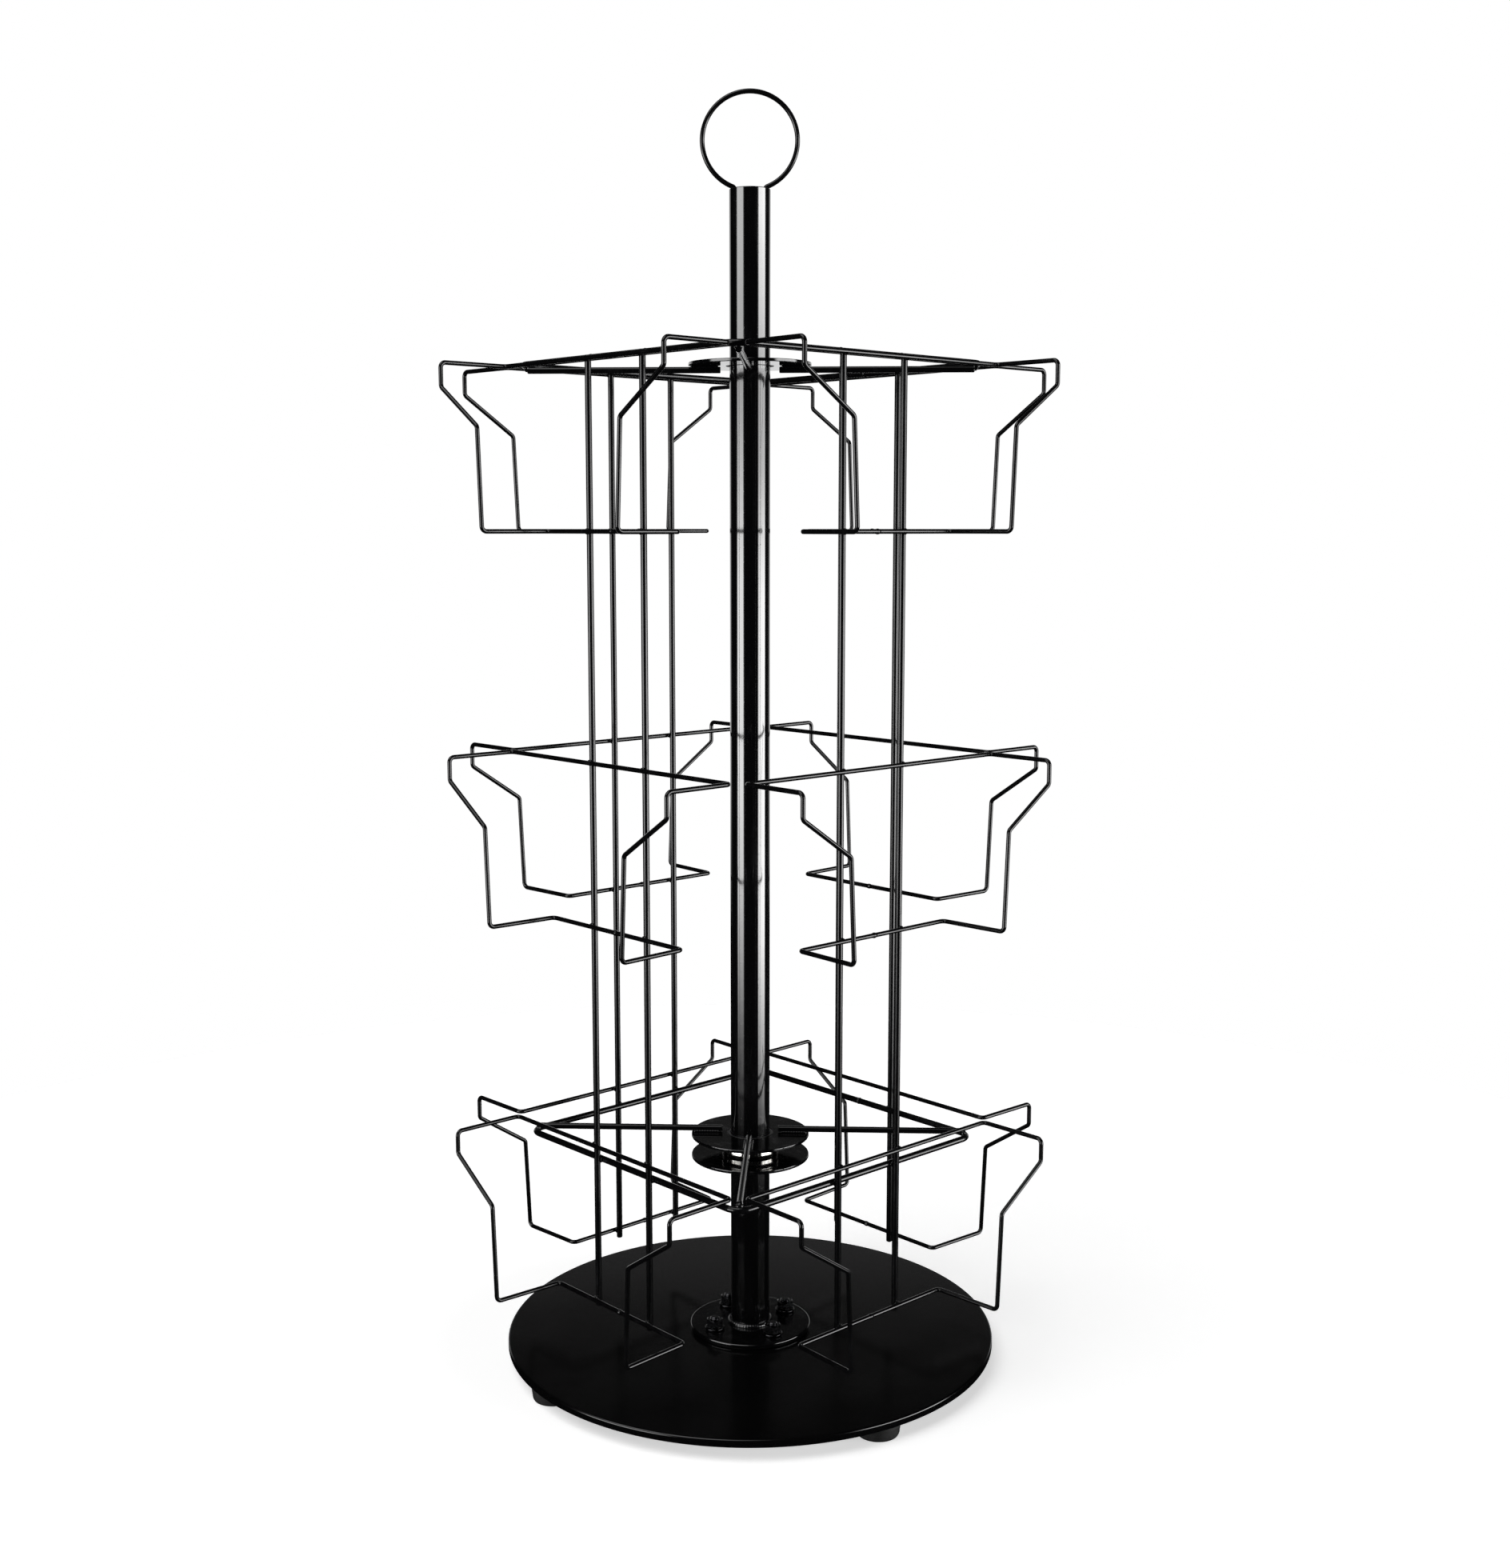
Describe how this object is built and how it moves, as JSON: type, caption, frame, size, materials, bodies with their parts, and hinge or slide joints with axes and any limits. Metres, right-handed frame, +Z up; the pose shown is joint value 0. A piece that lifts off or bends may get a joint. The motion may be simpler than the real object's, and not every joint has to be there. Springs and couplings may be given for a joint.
{
  "type": "rotating display rack",
  "caption": "Counter-top display rack: tiers of bent-wire pockets on a square rod frame that turns on a fixed pole with a round base and a ring on top.",
  "frame": {"origin": "on the floor under the feet, on the pole's axis", "axes": "+Z up along the pole; the rack's faces look along -Y (front), +X, +Y and -X at rest"},
  "size_m": [0.32, 0.32, 0.8057],
  "materials": {
    "base_paint": "satin black powder coat, fine texture",
    "gloss_black": "smooth gloss black enamel",
    "black_wire": "gloss black enamelled steel wire",
    "black_fastener": "black oxide, slightly glossy",
    "bright_steel": "bright plated bearing steel",
    "black_nylon": "moulded nylon",
    "black_rubber": "moulded rubber"
  },
  "bodies": {
    "stand": {"base_plate": "base_paint", "foot_1": "black_rubber", "foot_2": "black_rubber", "foot_3": "black_rubber", "foot_4": "black_rubber", "foot_screw_1": "black_fastener", "foot_screw_2": "black_fastener", "foot_screw_3": "black_fastener", "foot_screw_4": "black_fastener", "base_flange": "gloss_black", "flange_washer_1": "black_fastener", "flange_washer_2": "black_fastener", "flange_washer_3": "black_fastener", "flange_washer_4": "black_fastener", "flange_nut_1": "black_fastener", "flange_nut_2": "black_fastener", "flange_nut_3": "black_fastener", "flange_nut_4": "black_fastener", "pole": "gloss_black", "pole_plug": "black_nylon", "top_ring": "black_wire", "support_disc": "gloss_black", "lower_race": "bright_steel", "caged_balls": "bright_steel"},
    "rack": {"upper_race": "bright_steel", "lower_hub_disc": "gloss_black", "lower_hub_bush": "black_nylon", "upper_hub_disc": "gloss_black", "upper_hub_bush": "black_nylon", "lower_square": "black_wire", "upper_square": "black_wire", "lower_arm_1": "black_wire", "lower_arm_2": "black_wire", "lower_arm_3": "black_wire", "lower_arm_4": "black_wire", "upper_arm_1": "black_wire", "upper_arm_2": "black_wire", "upper_arm_3": "black_wire", "upper_arm_4": "black_wire", "upright_front_a": "black_wire", "upright_front_b": "black_wire", "upright_right_a": "black_wire", "upright_right_b": "black_wire", "upright_back_a": "black_wire", "upright_back_b": "black_wire", "upright_left_a": "black_wire", "upright_left_b": "black_wire", "pocket_top_front": "black_wire", "pocket_top_right": "black_wire", "pocket_top_back": "black_wire", "pocket_top_left": "black_wire", "pocket_middle_front": "black_wire", "pocket_middle_right": "black_wire", "pocket_middle_back": "black_wire", "pocket_middle_left": "black_wire", "pocket_bottom_front": "black_wire", "pocket_bottom_right": "black_wire", "pocket_bottom_back": "black_wire", "pocket_bottom_left": "black_wire"}
  },
  "joints": [
    {"name": "rack_spin", "type": "hinge", "parent": "stand", "child": "rack", "pos_m": [0, 0, 0.14], "axis": [0, 0, 1], "continuous": true}
  ]
}
